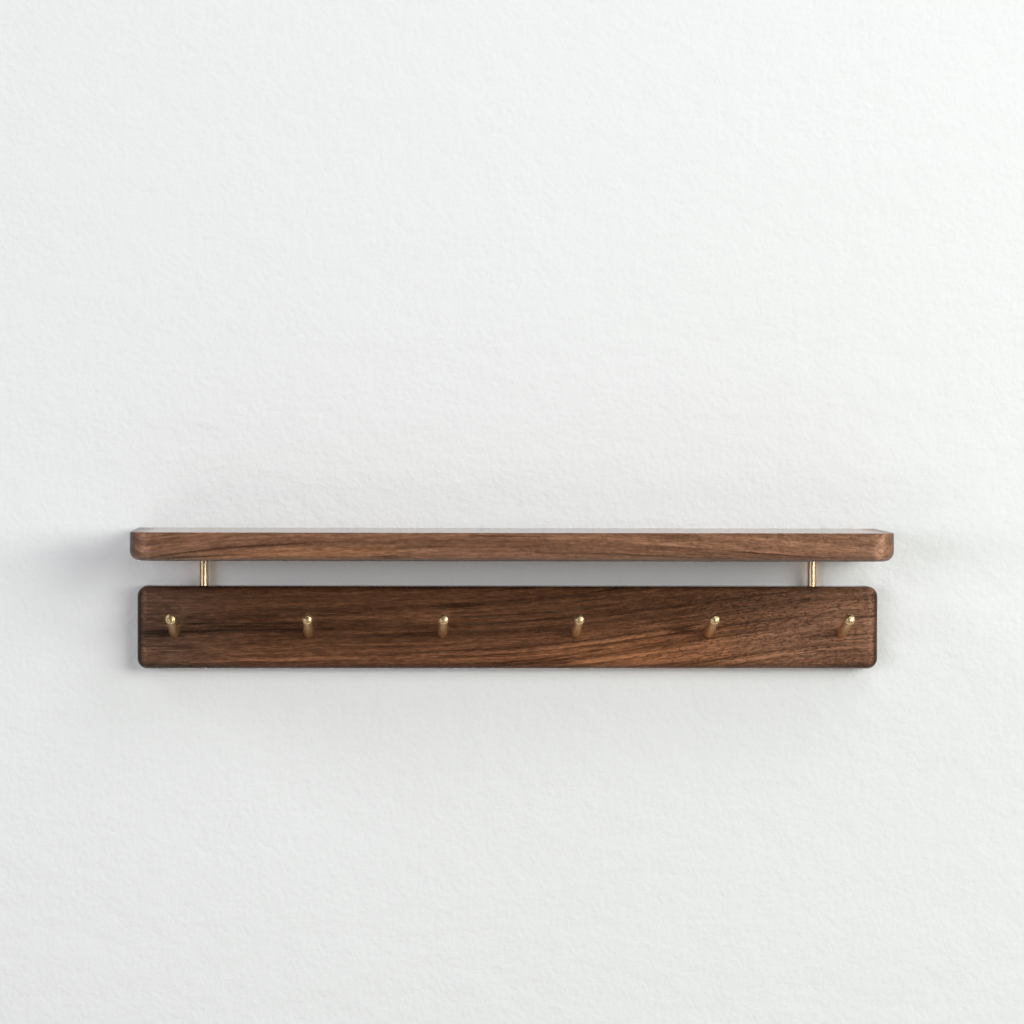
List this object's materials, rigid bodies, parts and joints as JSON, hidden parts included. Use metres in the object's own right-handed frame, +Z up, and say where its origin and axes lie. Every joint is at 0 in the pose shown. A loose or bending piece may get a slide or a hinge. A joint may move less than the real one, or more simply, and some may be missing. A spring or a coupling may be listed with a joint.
{
  "type": "wall shelf with peg rail",
  "caption": "Wooden wall shelf board carried on round brass posts above a peg rail, with upturned brass pegs and keyhole hangers behind.",
  "frame": {"origin": "middle of the rail's back face, on the wall", "axes": "+X along the wall to the right as seen from the room, +Y into the wall, +Z up"},
  "size_m": [0.6, 0.12, 0.1135],
  "materials": {
    "shelf_walnut": "oiled walnut, satin, grain along the board",
    "rail_walnut": "darker oiled walnut, satin, grain along the rail",
    "post_brass": "polished",
    "peg_brass": "fine brushed, unlacquered",
    "hanger_steel": "zinc plated sheet",
    "screw_steel": "zinc plated"
  },
  "bodies": {
    "root": {"shelf_board": "shelf_walnut", "back_rail": "rail_walnut", "post_left": "post_brass", "post_right": "post_brass", "keyhole_hanger_left": "hanger_steel", "keyhole_hanger_right": "hanger_steel", "hanger_screw_left_upper": "screw_steel", "hanger_screw_left_lower": "screw_steel", "hanger_screw_right_upper": "screw_steel", "hanger_screw_right_lower": "screw_steel", "peg_1": "peg_brass", "peg_screw_1": "screw_steel", "peg_2": "peg_brass", "peg_screw_2": "screw_steel", "peg_3": "peg_brass", "peg_screw_3": "screw_steel", "peg_4": "peg_brass", "peg_screw_4": "screw_steel", "peg_5": "peg_brass", "peg_screw_5": "screw_steel", "peg_6": "peg_brass", "peg_screw_6": "screw_steel"}
  },
  "joints": []
}
